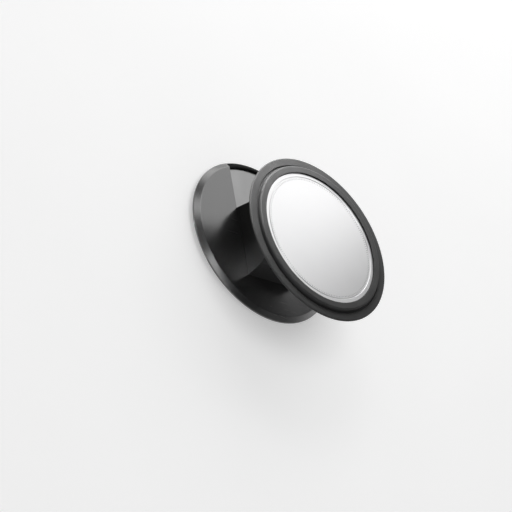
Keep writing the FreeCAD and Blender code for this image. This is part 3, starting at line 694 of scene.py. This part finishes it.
# Disc shell: a dish moulded in black with a fine spark-eroded texture, slanted round its back.
# It holds the magnets, and the rubber ring is stretched over its wall.
DISC_ALONG = -11.45     # the disc's axis, along from the base's
SHELL_RADIUS = 24.3
SHELL_WALL = 22.7       # the radius inside its wall
SHELL_FLOOR = 23.7
SHELL_RIM = 26.6
shell_moulding = grained(
    "shell_moulding", grain_size=0.22, swell_size=8.0, tints=(0.026, 0.036), roughness=(0.46, 0.60), depth=0.03,
    rough_from="Height", IOR=1.5)
# Its roundings are lightened, partly as wear and partly as a painted highlight.
rub_and_light_edges(shell_moulding, patch_size=1.5, amount=0.8)
shell_corners = [
    (0, SHELL_BACK, 0), (22.1, SHELL_BACK, 0.6), (SHELL_RADIUS, 24.1, 0.6), (SHELL_RADIUS, SHELL_RIM, 0),
    (SHELL_WALL, SHELL_RIM, 0), (SHELL_WALL, SHELL_FLOOR, 0), (0, SHELL_FLOOR, 0),
]
shell_cuts = corner_bores(SCREW_CLEARANCE, KNUCKLE_SCREWS_APART, 22, 24.4)
shell = worked("shell", turned("shell", shell_corners, DISC_ALONG), shell_cuts)
shown("shell", shell, shell_moulding, "disc", "disc_shell")

# Screws that hold the knuckle: four shorter ones of the same steel and pattern as the bracket's.
# They are driven from inside the shell, through its floor and into the knuckle's plate.
knuckle_screws = screws("knuckle_screws_set", KNUCKLE_SCREWS_APART, 2.3, True, SHELL_FLOOR)
shown("knuckle_screws_set", knuckle_screws, turned_steel, "disc", "knuckle_screws")

# Magnet ring of the disc: twelve larger arc magnets, sintered and nickel plated like those of the base.
# They are bonded to a flat ring of the same rolled steel, which lies on the shell's floor.
DISC_MAGNETS = (18.4, 22.6)     # their inner and outer radius
DISC_YOKE_TOP = 24.2
disc_arc = arc_magnet("disc_arc", *DISC_MAGNETS, thickness=2.4, sweep=27.0)
disc_arcs = copied_round("disc_arcs", disc_arc, 12, (0, DISC_ALONG, DISC_YOKE_TOP), nickel_plate)
shown("magnets_of_disc", disc_arcs, nickel_plate, "disc", "disc_magnets")
disc_ring = yoke("yoke_of_disc", *DISC_MAGNETS, SHELL_FLOOR, DISC_YOKE_TOP, DISC_ALONG)
shown("yoke_of_disc", disc_ring, rolled_steel, "disc", "disc_yoke")

# Adhesive ring: a wide ring of grey double-sided film, die-cut.
# It lies on the shell's rim and the magnets inside it, and holds the plate.
adhesive_film = grained(
    "adhesive_film", grain_size=0.3, swell_size=3.0, tints=(0.26, 0.34), roughness=(0.5, 0.7), depth=0.01,
    IOR=1.45)
coat("plate_tape", adhesive_film)

# Face plate: a punched aluminium disc, bead-blasted to an even satin and clear anodised.
# A fine line is turned into it near its edge, with a ring of short printed ticks inside that line.
PLATE_RADIUS = 24.15
PLATE_BACK = 26.75
PLATE_FACE = 27.65
LINE_FLOOR = 27.5
TICK_RADII = (20.55, 21.05)
TICK_HALF = 0.06
TICK_HEIGHT = 0.012
TICKS = 180
blasted_aluminium = grained(
    "blasted_aluminium", grain_size=0.09, swell_size=14.0, tints=((0.88, 0.88, 0.885), (0.90, 0.90, 0.905)),
    roughness=(0.32, 0.34), depth=0.004, Metallic=1.0)
plate_corners = [
    (0, PLATE_BACK, 0), (PLATE_RADIUS, PLATE_BACK, 0), (PLATE_RADIUS, PLATE_FACE, 0.1),
    (21.75, PLATE_FACE, 0.03), (21.6, LINE_FLOOR, 0), (21.4, LINE_FLOOR, 0), (21.25, PLATE_FACE, 0.03),
    (0, PLATE_FACE, 0),
]
plate = turned("plate", plate_corners, DISC_ALONG)
shown("plate", plate, blasted_aluminium, "disc", "face_plate")

tick_grey = grained(
    "tick_grey", grain_size=0.1, swell_size=3.0, tints=(0.34, 0.46), roughness=(0.42, 0.55), depth=0,
    rough_from="Height", Metallic=1.0)
tick_outline = rectangle(TICK_RADII[0], -TICK_HALF, TICK_RADII[1], TICK_HALF)
tick = prism("tick", tick_outline, 0, TICK_HEIGHT, "Z")
ticks = copied_round("ticks", tick, TICKS, (0, DISC_ALONG, PLATE_FACE), tick_grey)
tick_ring = work_object("plate_ticks", ticks)
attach(tick_ring, "disc")

# Rubber ring: moulded in dark silicone rubber in one with its flange, groove and raised tier.
# It is stretched over the shell, and its lip reaches over the plate's edge.
# The wall of that lip is smooth, and its grey is painted darker there as painted shade where the lip meets the
# plate.
RING_OPENING = 22.9
RING_FRONT = 28.15
LIP = 0.3               # the rounding of the lip, over which the painted shade fades out
TIER_RADIUS = 25.5
GROOVE_RADIUS = 26.1
GROOVE_FLOOR = 26.5
FLANGE_RADIUS = 28.75
FLANGE_FRONT = 26.95
FLANGE_BACK = 26.15
SKIRT_RADIUS = 25.8
SKIRT_END = 24.85
ring_silicone = grained(
    "ring_silicone", grain_size=0.14, swell_size=7.0, tints=(0.0145, 0.019), roughness=(0.50, 0.60), depth=0.012,
    IOR=1.3)
# Painted shade: the grey drops to a tenth on the lip's inner wall and comes back over its rounding, standing for
# the shade where the ring meets the plate.
tree = ring_silicone.node_tree
ring_place = tree.nodes.new("ShaderNodeTexCoord")
ring_parts = tree.nodes.new("ShaderNodeSeparateXYZ")
tree.links.new(ring_place.outputs["Object"], ring_parts.inputs["Vector"])
ring_along = sum_node(tree, "SUBTRACT", ring_parts.outputs["Y"], DISC_ALONG * MM)
across_squared = sum_node(tree, "MULTIPLY", ring_parts.outputs["X"], ring_parts.outputs["X"])
along_squared = sum_node(tree, "MULTIPLY", ring_along, ring_along)
ring_radius = sum_node(tree, "SQRT", sum_node(tree, "ADD", across_squared, along_squared))
past_opening = sum_node(tree, "SUBTRACT", ring_radius, RING_OPENING * MM)
shade_over_lip = sum_node(tree, "DIVIDE", past_opening, LIP * MM)
shade(ring_silicone, tone(tree, shade_over_lip, (0.1, 1.0), places=(0.0, 1.0)))
# Its roundings are lightened, partly as wear and partly as a painted highlight.
rub_and_light_edges(ring_silicone, patch_size=1.8, amount=0.8)
ring_corners = [
    (RING_OPENING, PLATE_FACE, 0), (RING_OPENING, RING_FRONT, LIP), (TIER_RADIUS, RING_FRONT, 0.7),
    (TIER_RADIUS, GROOVE_FLOOR, 0.12), (GROOVE_RADIUS, GROOVE_FLOOR, 0.12), (GROOVE_RADIUS, FLANGE_FRONT, 0.2),
    (FLANGE_RADIUS, FLANGE_FRONT, 0.38), (FLANGE_RADIUS, FLANGE_BACK, 0.38), (SKIRT_RADIUS, FLANGE_BACK, 0.15),
    (SKIRT_RADIUS, SKIRT_END, 0.2), (SHELL_RADIUS, SKIRT_END, 0.1), (SHELL_RADIUS, PLATE_FACE, 0),
]
ring = turned("ring", ring_corners, DISC_ALONG)
rubber_ring = shown("ring", ring, ring_silicone, "disc", "rubber_ring")

# Floor: a plain pale board under the contact face, painted matt.
# It glows faintly, as a board lit from below does, which keeps its shadows soft.
FLOOR_HALF = 3000
FLOOR_THICKNESS = 20
board, tree, shader = finish(
    "board", Roughness=0.85, Emission_Color=(1.0, 1.0, 1.0, 1.0), Emission_Strength=0.38)
grain = group_node(tree, moulded_grain, Swell_Size=60.0)
tree.links.new(tone(tree, grain.outputs["Mottle"], (0.80, 0.82)), shader.inputs["Base Color"])
floor_outline = rectangle(-FLOOR_HALF, -FLOOR_HALF, FLOOR_HALF, FLOOR_HALF)
floor_mesh = prism("floor", floor_outline, -FLOOR_THICKNESS, 0, "Z")
floor_mesh.materials.append(board)
floor = work_object("floor", floor_mesh)

# Studio light: a pale room that darkens upwards, large softboxes behind the part and broad panels above it.
# The lid and the floor have softboxes of their own, and one narrow panel shows in the lid's corner at the bracket.
# Small fills lift the shade on the ring and the lid without being mirrored there.
room = bpy.data.worlds.new("room")
room.use_nodes = True
tree = room.node_tree
room_way = tree.nodes.new("ShaderNodeTexCoord")
room_height = tree.nodes.new("ShaderNodeSeparateXYZ")
tree.links.new(room_way.outputs["Generated"], room_height.inputs["Vector"])
room_tone = tone(tree, room_height.outputs["Z"], (0.75, 0.20), places=(0.25, 0.50))
tree.links.new(room_tone, tree.nodes["Background"].inputs["Color"])
bpy.context.scene.world = room
bpy.context.scene.view_settings.view_transform = "Standard"


def panel(name, place, aim, width, height, radiance, lit=(), mirrored=True, spread=180):
    """A rectangular softbox of an even radiance, with its place and aim in millimetres, for all or a few pieces.
    One that isn't mirrored only fills their shade, and a narrow spread, in degrees, makes a beam of it."""
    light = bpy.data.lights.new(name, "AREA")
    light.shape = "RECTANGLE"
    light.size = width * MM
    light.size_y = height * MM
    light.spread = math.radians(spread)
    light.energy = radiance * math.pi * width * height * MM * MM
    lamp = bpy.data.objects.new(name, light)
    lamp.location = Vector(place) * MM
    lamp.rotation_euler = (Vector(aim) - Vector(place)).to_track_quat("-Z", "Y").to_euler()
    bpy.context.scene.collection.objects.link(lamp)
    lamp.visible_glossy = mirrored
    if lit:
        lamp.light_linking.receiver_collection = bpy.data.collections.new(name)
        for piece in lit:
            lamp.light_linking.receiver_collection.objects.link(piece)


beside_lid = [
    piece for piece in bpy.context.scene.objects if piece.type == "MESH" and piece not in (base_lid, floor)
]
disc_middle = (-13.5, -9.1, 27.5)
panel("softbox", (71.5, 153.9, 117.5), disc_middle, 214, 178, 1.10, beside_lid)
panel("floor_softbox", (156.5, 316.9, 207.5), disc_middle, 428, 356, 1.10, [floor])
panel("lid_softbox", (77, 162.2, 105), (-8, -0.8, 15), 202, 150, 1.17, [base_lid])
panel("lid_edge_panel", (95, 238, 332), (0, 0, 0), 80, 80, 6.0, [base_lid])
panel("panel_above", (-170, -125, 780), (0, 0, 0), 420, 420, 2.6)
panel("panel_behind", (-101, 298, 322), (0, 0, 0), 150, 130, 2.4)
panel("ring_fill", (-25, 45, 60), (0, -5, 25), 60, 60, 40.0, [rubber_ring], mirrored=False)
panel("near_fill", (-120, -135, 49), (-15, -30, 27), 40, 40, 24.0, [rubber_ring], mirrored=False)
panel("corner_panel", (-106.5, 44.7, 93.7), (-10, -27, 3.8), 24, 60, 0.34, [neck, base_lid], spread=8)
panel("low_fill", (-137.6, -14, 107.9), (-21, -14, 4), 10, 10, 3.0, [base_lid], mirrored=False, spread=5)
panel("lid_fill", (-100, -150, 120), (0, -18, 4), 40, 40, 38.0, [base_lid], mirrored=False)

# Camera: a long lens about 0.95 m away, at the angle of the photograph.
# Its turn and place were solved from the outlines there, so it needs no shift.
camera_lens = bpy.data.cameras.new("camera")
camera_lens.sensor_width = 36.0
camera_lens.lens = 207.13
camera = bpy.data.objects.new("camera", camera_lens)
camera.matrix_world = Matrix((
    (0.73252, -0.22343, -0.64304, -0.61014),
    (-0.15551, 0.86470, -0.47760, -0.45641),
    (0.66274, 0.44986, 0.59866, 0.56707),
    (0.0, 0.0, 0.0, 1.0),
))
bpy.context.scene.collection.objects.link(camera)
bpy.context.scene.camera = camera
